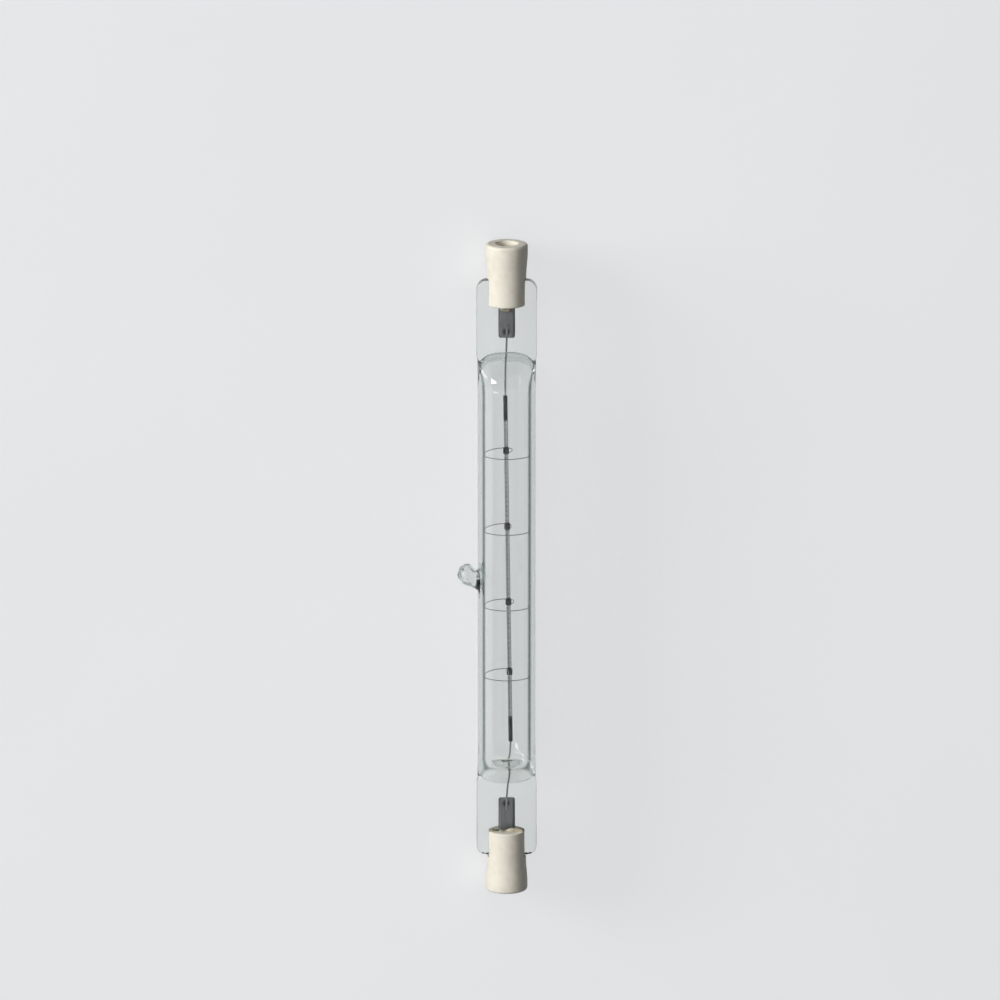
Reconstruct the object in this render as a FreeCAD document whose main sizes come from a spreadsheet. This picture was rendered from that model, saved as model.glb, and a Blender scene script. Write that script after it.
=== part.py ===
"""Linear halogen bulb, 118 mm, double-ended, lying on its side with the exhaust tip on the floor.

The origin is the middle of the lamp's axis, which runs along X. Each piece is modelled with the flat of
the pinch seals facing Z and the exhaust tip along -Y. Its Placement then rolls it about X by the angle at
which both the tube and the tip touch a flat floor. What sits in an end of the lamp is modelled for the
+X end, and its twin is turned half way round Z.
"""

import FreeCAD, Part
import os
from math import asin, cos, degrees, pi, sin

import Sketcher
from FreeCAD import Placement, Rotation, Vector

# Driving dimensions in mm
SIZES = {
    "overall_length": 118.0,
    "recess_depth": 1.9,  # from the end of the lamp to the contact, so 114.2 between contacts
    "tube_diameter": 10.2,
    "tube_wall": 1.0,
    "shoulder_length": 6.5,  # over which the tube is pressed from round to flat
    "shoulder_lap": 3.0,  # by which a shoulder runs on into its pinch
    "cavity_lap": 0.7,  # by which the gas space runs into a pinch
    "cavity_end_width": 5.6,
    "cavity_end_height": 0.8,
    "pinch_width": 10.6,
    "pinch_thickness": 2.8,
    "pinch_length": 15.0,
    "pinch_setback": 6.5,  # of the pinch's outer end from the end of the lamp
    "pinch_corner": 1.8,
    "pinch_edge": 0.35,
    "rim_width": 0.9,  # of the thicker bead along each side of a pinch
    "rim_height": 0.2,
    "tip_diameter": 3.9,
    "tip_distance": 6.65,  # from the lamp's axis to the middle of the exhaust tip's bead
    "tip_offset": 1.65,  # of the exhaust tip from the middle of the lamp
    "tip_neck_diameter": 3.2,
    "tip_flare": 0.5,
    "tip_bore_diameter": 1.6,
    "tip_bore_end": 0.4,
    "cap_length": 11.0,
    "cap_head_length": 4.1,
    "cap_head_diameter": 7.4,
    "cap_taper_length": 1.6,
    "cap_body_diameter": 6.8,
    "cap_head_edge": 0.6,
    "cap_body_edge": 0.5,
    "recess_diameter": 4.0,
    "contact_diameter": 2.9,
    "contact_thickness": 0.6,
    "contact_edge": 0.15,
    "cement_side": 0.2,  # cement between pinch and cap on each side
    "cement_end": 0.3,
    "foil_width": 2.9,
    "foil_length": 9.0,
    "foil_thickness": 0.04,
    "foil_edge": 0.5,  # width of the etched, feathered edge
    "foil_setback": 8.0,  # of the foil's outer end from the end of the lamp
    "foil_drop": 0.18,  # of the foil's upper face below the lamp's axis
    "lead_lap": 2.3,  # by which a lead lies on the foil
    "outer_lead_diameter": 0.7,
    "inner_lead_diameter": 0.45,
    "coil_setback": 5.9,  # of the coil's end from the inner end of the pinch
    "coil_diameter": 0.86,
    "coil_wire": 0.1,
    "post_length": 4.4,  # of the thick end of the inner lead, inside the coil
    "post_fit": 0.02,  # radial room of that post in the coil
    "support_wire": 0.18,
    "support_turns": 7.0,  # tight turns of a support on the coil, wire against wire
    "support_fit": 0.02,  # radial room of a support on the coil and in the tube
}

SUPPORT_PLACES = (-0.674, -0.237, 0.206, 0.614)  # as shares of the coil's half length
SUPPORT_ANGLE = 180.0  # at which each support leaves the coil, in degrees from +Y towards +Z
HOOP_SWEEP = 250.0  # degrees of each support's hoop along the tube's wall
WIRE_SIDES = 4  # of the section of a bent wire

# Where along a shoulder its sections lie, and how far each has gone from the round tube to the flat end
# of the shoulder, as shares: place, width, height
OUTER_SECTIONS = ((0.0, 0.0, 0.0), (0.3, 0.2, 0.12), (0.65, 0.7, 0.66), (1.0, 1.0, 1.0))
INNER_SECTIONS = ((0.0, 0.0, 0.0), (0.35, -0.1, 0.16), (0.8, 0.0, 0.75), (1.0, 1.0, 1.0))

# Sizes worked out from the driving ones, as expressions
HALF = "sizes.overall_length / 2"
TUBE_R = "sizes.tube_diameter / 2"
BORE_R = f"({TUBE_R} - sizes.tube_wall)"
PINCH_OUT = f"({HALF} - sizes.pinch_setback)"
PINCH_IN = f"({PINCH_OUT} - sizes.pinch_length)"
SHOULDER_X = f"({PINCH_IN} + sizes.shoulder_lap - sizes.shoulder_length)"
CAVITY_X = f"({PINCH_IN} + sizes.cavity_lap)"
WEB = "(sizes.pinch_thickness / 2 - sizes.rim_height)"
CAP_IN = f"({HALF} - sizes.cap_length)"
SLOT_X = f"({PINCH_OUT} + sizes.cement_end)"
CONTACT_X = f"({HALF} - sizes.recess_depth)"
SEAT_X = f"({CONTACT_X} - sizes.contact_thickness)"
FOIL_OUT = f"({HALF} - sizes.foil_setback)"
FOIL_IN = f"({FOIL_OUT} - sizes.foil_length)"
COIL_X = f"({PINCH_IN} - sizes.coil_setback)"

doc = FreeCAD.newDocument("linear_halogen_bulb")
sheet = doc.addObject("Spreadsheet::Sheet", "sizes")
for row, (alias, number) in enumerate(SIZES.items(), start=1):
    sheet.set(f"A{row}", alias)
    sheet.set(f"B{row}", str(number))
    sheet.setAlias(f"B{row}", alias)
doc.recompute()

ALONG_X = Rotation(Vector(0, 1, 0), 90)
ALONG_TIP = Rotation(Vector(1, 0, 0), 90)
SECTION = Rotation(Vector(1, 1, 1), 120)  # a flat shape's X goes along Y and its Y along Z


def value(expression):
    """What an expression in the sheet's sizes comes to, in mm."""
    found = sheet.evalExpression(expression)
    return float(getattr(found, "Value", found))


def bind(thing, **expressions):
    """Bind properties of an object to expressions; a double underscore stands for a dot."""
    for name, expression in expressions.items():
        thing.setExpression(name.replace("__", "."), expression)
    return thing


def primitive(kind, name, rotation=Rotation(), **expressions):
    """A Part primitive, turned by rotation, with its sizes and place bound to the sheet."""
    thing = doc.addObject(f"Part::{kind}", name)
    thing.Placement = Placement(Vector(), rotation)
    return bind(thing, **expressions)


def joined(name, *things):
    """One solid of several."""
    fuse = doc.addObject("Part::MultiFuse", name)
    fuse.Shapes = list(things)
    return fuse


def without(name, base, tool):
    """The base with the tool's space taken out."""
    cut = doc.addObject("Part::Cut", name)
    cut.Base = base
    cut.Tool = tool
    return cut


def mirrored(name, source):
    """The same form at the other end of the lamp."""
    twin = doc.addObject("Part::Mirroring", name)
    twin.Source = source
    twin.Normal = Vector(1, 0, 0)
    return twin


def origin_plane(body, role):
    return next(plane for plane in body.Origin.OriginFeatures if plane.Role == role)


def outline(body, role, name, corners):
    """A closed outline in one of the body's origin planes; each corner is a pair of expressions."""
    sketch = body.newObject("Sketcher::SketchObject", name)
    sketch.AttachmentSupport = [(origin_plane(body, role), "")]
    sketch.MapMode = "FlatFace"
    points = [Vector(value(u), value(v), 0) for u, v in corners]
    last = len(points) - 1
    for i, point in enumerate(points):
        sketch.addGeometry(Part.LineSegment(point, points[0 if i == last else i + 1]))
    for i in range(len(points)):
        sketch.addConstraint(Sketcher.Constraint("Coincident", i, 2, 0 if i == last else i + 1, 1))
    for i, (u, v) in enumerate(corners):
        for kind, expression in (("DistanceX", u), ("DistanceY", v)):
            rule = Sketcher.Constraint(kind, -1, 1, i, 1, value(expression))
            sketch.setExpression(f"Constraints[{sketch.addConstraint(rule)}]", expression)
    return sketch


def turned(body, sketch, name):
    """The sketch revolved all the way round the lamp's axis."""
    feature = body.newObject("PartDesign::Revolution", name)
    feature.Profile = sketch
    feature.ReferenceAxis = (sketch, ["H_Axis"])
    feature.Angle = 360
    sketch.Visibility = False
    return feature


def worked_edges(body, feature, name, kind, edge_test, **size):
    """Round or chamfer the edges of a feature whose lowest and highest corners pass edge_test."""
    doc.recompute()
    names = []
    for i, edge in enumerate(feature.Shape.Edges, start=1):
        box = edge.BoundBox
        if edge_test(Vector(box.XMin, box.YMin, box.ZMin), Vector(box.XMax, box.YMax, box.ZMax)):
            names.append(f"Edge{i}")
    worked = body.newObject(f"PartDesign::{kind}", name)
    worked.Base = (feature, names)
    return bind(worked, **size)


def near(a, b):
    return abs(a - b) < 1e-4


def new_body(name):
    return doc.addObject("PartDesign::Body", name)


def pinch(name):
    """A pinch seal: a pressed bar with a bead along each side and rounded outer corners."""
    half = "sizes.pinch_width / 2"
    thick = "sizes.pinch_thickness / 2"
    bead = f"{half} - sizes.rim_width"
    foot = f"{bead} - sizes.rim_height"
    quarter = [(half, thick), (bead, thick), (foot, WEB)]
    corners = list(quarter)
    corners += [(f"-({u})", v) for u, v in reversed(quarter)]
    corners += [(f"-({u})", f"-({v})") for u, v in quarter]
    corners += [(u, f"-({v})") for u, v in reversed(quarter)]
    bar = new_body(f"{name}_bar")
    section = outline(bar, "YZ_Plane", f"{name}_section", corners)
    bind(section, AttachmentOffset__Base__z=PINCH_IN)
    length = bar.newObject("PartDesign::Pad", f"{name}_length")
    length.Profile = section
    bind(length, Length="sizes.pinch_length")
    side, top = value(half), value(thick)
    worked_edges(
        bar,
        length,
        f"{name}_edges",
        "Fillet",
        lambda low, high: high.x - low.x > 1 and near(abs(low.z), top) and near(abs(low.y), side)
        and near(low.z, high.z) and near(low.y, high.y),
        Radius="sizes.pinch_edge",
    )
    plan = new_body(f"{name}_plan")
    blunt = f"{PINCH_IN} - sizes.pinch_corner * 2"
    rectangle = [(PINCH_OUT, half), (blunt, half), (blunt, f"-{half}"), (PINCH_OUT, f"-{half}")]
    sheet_form = plan.newObject("PartDesign::Pad", f"{name}_thickness")
    sheet_form.Profile = outline(plan, "XY_Plane", f"{name}_plan_outline", rectangle)
    sheet_form.Midplane = True
    bind(sheet_form, Length="2 * sizes.pinch_thickness")
    out = value(PINCH_OUT)
    worked_edges(
        plan,
        sheet_form,
        f"{name}_corners",
        "Fillet",
        lambda low, high: near(low.x, out) and near(low.y, high.y) and near(abs(low.y), side),
        Radius="sizes.pinch_corner",
    )
    pressed = doc.addObject("Part::Common", name)
    pressed.Base = bar
    pressed.Tool = plan
    return pressed


def shoulder(name, start, length, sections, radius, end_width, end_height):
    """The round-to-flat end of the tube or of its cavity, lofted through ellipses."""
    rings = []
    for i, (place, width, height) in enumerate(sections, start=1):
        ring = primitive(
            "Ellipse",
            f"{name}_ring_{i}",
            SECTION,
            MajorRadius=f"{radius} * {1 - width} + {end_width} / 2 * {width}",
            MinorRadius=f"{radius} * {1 - height} + {end_height} / 2 * {height}",
            Placement__Base__x=f"{start} + {length} * {place}",
        )
        rings.append(ring)
    loft = doc.addObject("Part::Loft", name)
    loft.Sections = rings
    loft.Solid = True
    loft.Ruled = True
    return loft


def axial(name, radius, start, length):
    """A round bar along the lamp's axis."""
    return primitive(
        "Cylinder", name, ALONG_X, Radius=radius, Height=length, Placement__Base__x=start
    )


def foil(name):
    """A molybdenum foil: a flat strip with feathered edges, just below the lamp's axis."""
    body = new_body(name)
    half = "sizes.foil_width / 2"
    flat = f"{half} - sizes.foil_edge"
    top = "-sizes.foil_drop"
    middle = f"{top} - sizes.foil_thickness / 2"
    bottom = f"{top} - sizes.foil_thickness"
    corners = [(half, middle), (flat, top), (f"-({flat})", top)]
    corners += [(f"-({half})", middle), (f"-({flat})", bottom), (flat, bottom)]
    section = outline(body, "YZ_Plane", f"{name}_section", corners)
    bind(section, AttachmentOffset__Base__z=FOIL_IN)
    strip = body.newObject("PartDesign::Pad", f"{name}_strip")
    strip.Profile = section
    bind(strip, Length="sizes.foil_length")
    return body


def lead_flat(name, start):
    """The space below a lead where it lies flat on the foil, over the lap that starts at start."""
    width = "2 * sizes.outer_lead_diameter"
    return primitive(
        "Box",
        name,
        Length="sizes.lead_lap",
        Width=width,
        Height=width,
        Placement__Base__x=start,
        Placement__Base__y=f"-{width} / 2",
        Placement__Base__z=f"-sizes.foil_drop - {width}",
    )


def inner_lead(name):
    """From the foil, through the glass and the gas, to the thick post inside the coil's end."""
    post = axial(
        f"{name}_post",
        "sizes.coil_diameter / 2 - sizes.coil_wire - sizes.post_fit",
        f"{COIL_X} - sizes.post_length",
        "sizes.post_length",
    )
    wire = axial(
        f"{name}_wire",
        "sizes.inner_lead_diameter / 2",
        f"{COIL_X} - sizes.post_length / 2",
        f"{FOIL_IN} + sizes.lead_lap - {COIL_X} + sizes.post_length / 2",
    )
    return without(name, joined(f"{name}_bar", post, wire), lead_flat(f"{name}_flat", FOIL_IN))


def outer_lead(name):
    """From the foil out through the glass, the cement and the cap into the contact."""
    start = f"({FOIL_OUT} - sizes.lead_lap)"
    bar = axial(
        f"{name}_wire",
        "sizes.outer_lead_diameter / 2",
        start,
        f"{SEAT_X} + sizes.contact_thickness / 2 - {start}",
    )
    return without(name, bar, lead_flat(f"{name}_flat", start))


def envelope(name):
    """The quartz body: tube, shoulders, pinches and exhaust tip in one piece, with its gas space."""
    tube = axial(f"{name}_tube", TUBE_R, f"-{SHOULDER_X}", f"2 * {SHOULDER_X}")
    flattened = shoulder(
        f"{name}_shoulder",
        SHOULDER_X,
        "sizes.shoulder_length",
        OUTER_SECTIONS,
        TUBE_R,
        "(sizes.pinch_width - sizes.rim_height)",
        f"({WEB} * 2 - sizes.rim_height)",
    )
    end = joined(f"{name}_end", flattened, pinch(f"{name}_pinch"))
    bead = primitive(
        "Sphere",
        f"{name}_tip",
        Radius="sizes.tip_diameter / 2",
        Placement__Base__x="sizes.tip_offset",
        Placement__Base__y="-sizes.tip_distance",
    )
    root = f"({TUBE_R} - sizes.tube_wall / 2)"
    neck = primitive(
        "Cone",
        f"{name}_neck",
        ALONG_TIP,
        Radius1="sizes.tip_neck_diameter / 2 + sizes.tip_flare",
        Radius2="sizes.tip_neck_diameter / 2",
        Height=f"sizes.tip_distance - {root}",
        Placement__Base__x="sizes.tip_offset",
        Placement__Base__y=f"-{root}",
    )
    blank = joined(f"{name}_blank", tube, end, mirrored(f"{name}_far_end", end), bead, neck)

    bore = axial(f"{name}_bore", BORE_R, f"-{SHOULDER_X}", f"2 * {SHOULDER_X}")
    closing = shoulder(
        f"{name}_closing",
        SHOULDER_X,
        f"({CAVITY_X} - {SHOULDER_X})",
        INNER_SECTIONS,
        BORE_R,
        "sizes.cavity_end_width",
        "sizes.cavity_end_height",
    )
    throat = primitive(
        "Cone",
        f"{name}_throat",
        ALONG_TIP,
        Radius1="sizes.tip_bore_diameter / 2",
        Radius2="sizes.tip_bore_end / 2",
        Height=f"sizes.tip_distance - {BORE_R} / 2",
        Placement__Base__x="sizes.tip_offset",
        Placement__Base__y=f"-{BORE_R} / 2",
    )
    cavity = joined(
        f"{name}_cavity", bore, closing, mirrored(f"{name}_far_closing", closing), throat
    )
    sealed = joined(
        f"{name}_sealed",
        foil(f"{name}_foil"),
        inner_lead(f"{name}_inner_lead"),
        outer_lead(f"{name}_outer_lead"),
    )
    space = joined(f"{name}_space", cavity, sealed, mirrored(f"{name}_far_sealed", sealed))
    return without(name, blank, space)


def cap(name):
    """A ceramic cap: head, taper and slotted body, with the contact's recess in its end face."""
    body = new_body(name)
    hole = "sizes.outer_lead_diameter / 2"
    waist = "sizes.cap_body_diameter / 2"
    head = "sizes.cap_head_diameter / 2"
    recess = "sizes.recess_diameter / 2"
    seat = "sizes.contact_diameter / 2"
    head_x = f"{HALF} - sizes.cap_head_length"
    taper_x = f"{head_x} - sizes.cap_taper_length"
    corners = [(CAP_IN, hole), (CAP_IN, waist), (taper_x, waist), (head_x, head), (HALF, head)]
    corners += [(HALF, recess), (CONTACT_X, recess), (CONTACT_X, seat), (SEAT_X, seat)]
    corners += [(SEAT_X, hole)]
    blank = turned(body, outline(body, "XZ_Plane", f"{name}_outline", corners), f"{name}_blank")
    half_slot = f"{WEB} + sizes.cement_side"
    mouth = f"{CAP_IN} - sizes.cement_end"
    slot_corners = [(mouth, half_slot), (SLOT_X, half_slot)]
    slot_corners += [(SLOT_X, f"-({half_slot})"), (mouth, f"-({half_slot})")]
    slot = body.newObject("PartDesign::Pocket", f"{name}_slot")
    slot.Profile = outline(body, "XZ_Plane", f"{name}_slot_outline", slot_corners)
    slot.Midplane = True
    bind(slot, Length="2 * sizes.cap_head_diameter")
    end_x, in_x, wide, hollow = (value(e) for e in (HALF, CAP_IN, waist, recess))
    rim = worked_edges(
        body,
        slot,
        f"{name}_rim",
        "Chamfer",
        lambda low, high: near(low.x, end_x) and high.y > hollow + 0.1,
        Size="sizes.cap_head_edge",
    )
    worked_edges(
        body,
        rim,
        f"{name}_ends",
        "Chamfer",
        lambda low, high: near(low.x, in_x) and near(high.x, in_x)
        and near(max(high.z, -low.z), wide),
        Size="sizes.cap_body_edge",
    )
    return body


def contact(name):
    """The nickel button at the bottom of the recess, with the socket that holds the outer lead."""
    body = new_body(name)
    socket = "sizes.outer_lead_diameter / 2"
    socket_x = f"{SEAT_X} + sizes.contact_thickness / 2"
    edge = "sizes.contact_diameter / 2"
    face_x = f"{CONTACT_X} - sizes.contact_edge"
    corners = [(SEAT_X, socket), (SEAT_X, edge), (face_x, edge)]
    corners += [(CONTACT_X, f"{edge} - sizes.contact_edge"), (CONTACT_X, "0")]
    corners += [(socket_x, "0"), (socket_x, socket)]
    turned(body, outline(body, "XZ_Plane", f"{name}_outline", corners), f"{name}_button")
    return body


def cement(name):
    """The fill between the pinch and the cap's slot, round three sides of the pinch's end."""
    depth = f"{SLOT_X} - {CAP_IN}"
    bar = axial(f"{name}_round", "sizes.cap_body_diameter / 2", CAP_IN, depth)
    height = f"2 * ({WEB} + sizes.cement_side)"
    slab = primitive(
        "Box",
        f"{name}_slab",
        Length=depth,
        Width="2 * sizes.cap_body_diameter",
        Height=height,
        Placement__Base__x=CAP_IN,
        Placement__Base__y="-sizes.cap_body_diameter",
        Placement__Base__z=f"-({height}) / 2",
    )
    fill = doc.addObject("Part::Common", f"{name}_fill")
    fill.Base = bar
    fill.Tool = slab
    seal = joined(f"{name}_seal", pinch(f"{name}_pinch"), outer_lead(f"{name}_lead"))
    return without(name, fill, seal)


def sleeve(name, start, length, inner, outer):
    """A close winding round the lamp's axis, as one sleeve."""
    winding = axial(f"{name}_winding", outer, start, length)
    return without(name, winding, axial(f"{name}_hollow", inner, start, length))


def filament(name):
    """The tungsten coil, wound so fine that its turns make one sleeve."""
    outer = "sizes.coil_diameter / 2"
    return sleeve(name, f"-{COIL_X}", f"2 * {COIL_X}", f"{outer} - sizes.coil_wire", outer)


def around(angle):
    """The direction square to the lamp's axis at an angle in degrees."""
    return Vector(0, cos(angle * pi / 180), sin(angle * pi / 180))


def bent_wire(start, angle, centre, sweep, thickness):
    """A wire bent to an arc about centre, from the point at radius start and angle."""
    out = around(angle)
    middle = out * start
    corners = []
    for i in range(WIRE_SIDES + 1):
        turn = 2 * pi * (i + 0.5) / WIRE_SIDES
        corner = out * cos(turn) + Vector(1, 0, 0) * sin(turn)
        corners.append(middle + corner * (thickness / 2))
    return Part.Face(Part.makePolygon(corners)).revolve(centre, Vector(1, 0, 0), sweep)


def support(name, angle):
    """A filament support: tight turns on the coil, a spiral arm and a hoop against the tube's wall."""
    inner = "(sizes.coil_diameter / 2 + sizes.support_fit)"
    length = "sizes.support_turns * sizes.support_wire"
    hub = sleeve(f"{name}_hub", f"-{length} / 2", length, inner, f"{inner} + sizes.support_wire")
    wire = value("sizes.support_wire")
    hub_r = value(f"{inner} + sizes.support_wire / 2")
    hoop_r = value(f"{BORE_R} - sizes.support_fit - sizes.support_wire / 2")
    middle = around(angle + 180) * ((hoop_r - hub_r) / 2)
    arm = bent_wire(hub_r, angle, middle, 180, wire)
    hoop = bent_wire(hoop_r, angle + 180, Vector(), HOOP_SWEEP, wire)
    spiral = doc.addObject("Part::Feature", f"{name}_spiral")
    spiral.Shape = arm.fuse(hoop)
    return joined(name, hub, spiral)


rest_roll = degrees(
    asin(value(f"({TUBE_R} - sizes.tip_diameter / 2) / sizes.tip_distance"))
)
ROLLED = Placement(Vector(), Rotation(Vector(1, 0, 0), rest_roll))
TURNED = ROLLED * Placement(Vector(), Rotation(Vector(0, 0, 1), 180))

pieces = []


def place(piece, label, placement):
    """Give a finished piece its name and its place in the lamp."""
    piece.Label = label
    piece.Placement = placement
    pieces.append(piece)


END_PIECES = {
    "ceramic_cap": cap,
    "contact": contact,
    "cap_cement": cement,
    "foil": foil,
    "outer_lead": outer_lead,
    "inner_lead": inner_lead,
}

place(envelope("envelope"), "quartz_envelope", ROLLED)
for side, placement in (("left", TURNED), ("right", ROLLED)):
    for kind, maker in END_PIECES.items():
        place(maker(f"{side}_{kind}_form"), f"{side}_{kind}", placement)
place(filament("filament_form"), "filament", ROLLED)
for i, share in enumerate(SUPPORT_PLACES):
    form = support(f"support_form_{i + 1}", SUPPORT_ANGLE)
    shift = Placement(Vector(share * value(COIL_X), 0, 0), Rotation())
    place(form, f"filament_support_{i + 1}", ROLLED * shift)

doc.recompute()
for thing in doc.Objects:
    if "Invalid" in thing.State or "Error" in thing.State:
        raise RuntimeError(f"{thing.Label} failed: {thing.State}")
for piece in pieces:
    shape = piece.Shape
    if shape.isNull() or not shape.isValid() or len(shape.Solids) != 1:
        raise RuntimeError(f"{piece.Label} is not one valid solid")

os.makedirs("parts", exist_ok=True)
for piece in pieces:
    piece.Shape.exportStep(f"parts/{piece.Label}.step")
print(len(pieces), "pieces, rolled", round(rest_roll, 2), "degrees")
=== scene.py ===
"""The look of a linear halogen bulb: clear quartz, pinch seals, coiled filament and ceramic caps.

Every piece is made in the lamp's own frame, in mm: X along the lamp, Z square to the flat of the pinches
and the exhaust tip along -Y. It is then rolled about X, as the lamp lies, and scaled to metres.
"""

from math import asin, atan2, cos, pi, radians, sin, sqrt

import bmesh
import bpy
from mathutils import Matrix, Vector, noise


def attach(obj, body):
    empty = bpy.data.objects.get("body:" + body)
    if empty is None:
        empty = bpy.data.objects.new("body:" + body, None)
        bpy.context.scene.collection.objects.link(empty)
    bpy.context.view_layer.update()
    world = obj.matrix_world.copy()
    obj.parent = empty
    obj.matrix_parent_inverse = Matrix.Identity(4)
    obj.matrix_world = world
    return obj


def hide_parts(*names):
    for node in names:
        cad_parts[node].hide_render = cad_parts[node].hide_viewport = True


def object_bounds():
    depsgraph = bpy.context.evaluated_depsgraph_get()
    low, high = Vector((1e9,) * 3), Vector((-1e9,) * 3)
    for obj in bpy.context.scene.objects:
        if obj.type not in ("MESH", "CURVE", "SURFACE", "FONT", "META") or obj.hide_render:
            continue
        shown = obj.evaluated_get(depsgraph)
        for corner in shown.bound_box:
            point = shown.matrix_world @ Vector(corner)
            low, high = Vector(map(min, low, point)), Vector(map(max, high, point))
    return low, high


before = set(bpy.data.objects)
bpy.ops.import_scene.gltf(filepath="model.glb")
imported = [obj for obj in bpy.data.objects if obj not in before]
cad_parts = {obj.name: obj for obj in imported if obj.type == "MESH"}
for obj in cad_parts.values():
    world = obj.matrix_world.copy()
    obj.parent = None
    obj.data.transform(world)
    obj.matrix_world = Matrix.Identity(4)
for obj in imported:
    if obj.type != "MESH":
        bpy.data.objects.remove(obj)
cad_low, cad_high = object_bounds()

MM = 0.001

# Sizes of the lamp in mm
HALF = 59.0  # of the lamp's length
TUBE_R = 5.1
BORE_R = 4.1
ROUND_X = 34.0  # where the tube stops being round
BORE_ROUND_X = 32.6  # and its bore
FLAT_X = 40.1  # where it is pressed flat
PINCH_IN = 37.5
PINCH_OUT = 52.5
PINCH_HALF_WIDTH = 5.3
BEAD_HALF_HEIGHT = 1.4
WEB_HALF_HEIGHT = 1.2
BEAD_FOOT = 4.2
PINCH_CORNER = 1.8
PINCH_EDGE = 0.35  # rounding of the pinch's outer end, seen from the side
PINCH_ENTRY = 1.5  # rounding of the pinch's inner corners
CAVITY_X = 38.8  # where the gas space ends
CAVITY_ARCH = 1.35  # length of its arched end
CAVITY_END_HALF_HEIGHT = 0.16
CAVITY_WIDENING = 0.45  # of its half width in the shoulder
TIP_R = 1.95  # of the exhaust tip's bead
TIP_DISTANCE = 6.65  # of its middle from the lamp's axis
TIP_X = 1.1
TIP_LEAN = 1.0  # of the tip's foot along the lamp from the middle of its bead
CAP_IN = 48.0
CAP_TAPER_X = 52.9
CAP_HEAD_X = 57.6  # where the flare of the cap's head ends
CAP_BODY_R = 3.43
CAP_HEAD_R = 3.7
CAP_HOLE_R = 0.35
RECESS_R = 2.0
CONTACT_X = 57.1
CONTACT_R = 1.45
CONTACT_SEAT = 56.5
SLOT_X = 52.8
SLOT_HALF = 1.4
FOIL_IN = 42.0
FOIL_OUT = 51.0
FOIL_TOP = -0.18
FOIL_THICKNESS = 0.04
FOIL_HALF_WIDTH = 1.45
ON_FOIL = FOIL_TOP + 0.005  # underside of a lead's flattened end
LEAD_LAP = 2.3  # by which a lead lies on the foil
WELD_X = 43.1  # of the inner lead's weld on the foil
INNER_LEAD_R = 0.16
COIL_X = 31.6
COIL_R = 0.39
COIL_WIRE_R = 0.045
COIL_PITCH = 0.23
POST_LENGTH = 4.4  # of the lead's thick end inside the coil
POST_R = 0.28
SUPPORT_WIRE_R = 0.06
SUPPORT_FIT = 0.02  # room of a support on the coil and in the tube
SUPPORT_PLACES = (-21.6, -7.8, 6.0, 18.8)
HUB_TURNS = 9.0
ARM_TURNS = 0.12
HOOP_TURNS = 0.74
HOOP_START = -88.0  # degrees from +Y towards +Z
HOOP_SHIFT = 0.6  # of a hoop along the lamp from the middle of its hub

ROLL = asin((TUBE_R - TIP_R) / TIP_DISTANCE)  # at which the lamp lies on its tube and its tip
ROLLED = Matrix.Rotation(ROLL, 4, "X")
LEFT_END = Matrix.Rotation(pi, 4, "Z")  # each end's pieces are made at the right
RIGHT_END = Matrix.Identity(4)


def smoothstep(value):
    value = min(max(value, 0.0), 1.0)
    return value * value * (3 - 2 * value)


def round_off(value):
    """From 1 at 0 down to 0 at 1 along a quarter circle."""
    value = min(max(value, 0.0), 1.0)
    return sqrt(max(0.0, 1 - value * value))


def smooth_max(a, b, width):
    share = min(max(0.5 + 0.5 * (a - b) / width, 0.0), 1.0)
    return b * (1 - share) + a * share + width * share * (1 - share)


def sway(x):
    """How far the coil hangs off the lamp's axis, towards +Y."""
    at_middle, more_at_right = 0.22, 0.48
    return at_middle + more_at_right * x / COIL_X


def spaced(start, end, count):
    return [start + (end - start) * i / (count - 1) for i in range(count)]


# Mesh helpers


def arc(x, r, size, start, end, steps=8):
    """Points of a rounded edge about (x, r), between two angles in degrees from +X."""
    turns = [radians(start + (end - start) * i / steps) for i in range(steps + 1)]
    return [(x + size * cos(turn), r + size * sin(turn)) for turn in turns]


def loft(name, rings):
    """A closed skin through rings of points, with a flat end on the first and the last."""
    count = len(rings[0])
    points = [tuple(p) for ring in rings for p in ring]
    faces = []
    for i in range(len(rings) - 1):
        for k in range(count):
            after = (k + 1) % count
            a, b = i * count, (i + 1) * count
            faces.append((a + k, a + after, b + after, b + k))
    last = (len(rings) - 1) * count
    for base, flip in ((0, True), (last, False)):
        centre = len(points)
        ring = points[base:base + count]
        points.append(tuple(sum(p[i] for p in ring) / count for i in range(3)))
        for k in range(count):
            edge = (base + k, base + (k + 1) % count)
            faces.append((centre,) + (edge[::-1] if flip else edge))
    mesh = bpy.data.meshes.new(name)
    mesh.from_pydata(points, [], faces)
    return as_object(name, mesh)


def as_object(name, mesh):
    fixer = bmesh.new()
    fixer.from_mesh(mesh)
    bmesh.ops.remove_doubles(fixer, verts=fixer.verts, dist=1e-5)
    bmesh.ops.recalc_face_normals(fixer, faces=fixer.faces)
    fixer.to_mesh(mesh)
    fixer.free()
    thing = bpy.data.objects.new(name, mesh)
    bpy.context.scene.collection.objects.link(thing)
    return thing


def baked(thing):
    """Apply all of an object's modifiers."""
    bpy.context.view_layer.update()
    graph = bpy.context.evaluated_depsgraph_get()
    mesh = bpy.data.meshes.new_from_object(thing.evaluated_get(graph))
    thing.modifiers.clear()
    thing.data = mesh
    return thing


def combined(thing, tool, operation, solver="EXACT"):
    """Two closed skins made into one by a boolean; the tool is used up."""
    boolean = thing.modifiers.new("join", "BOOLEAN")
    boolean.operation = operation
    boolean.object = tool
    boolean.solver = solver
    baked(thing)
    bpy.data.objects.remove(tool)
    return thing


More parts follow.
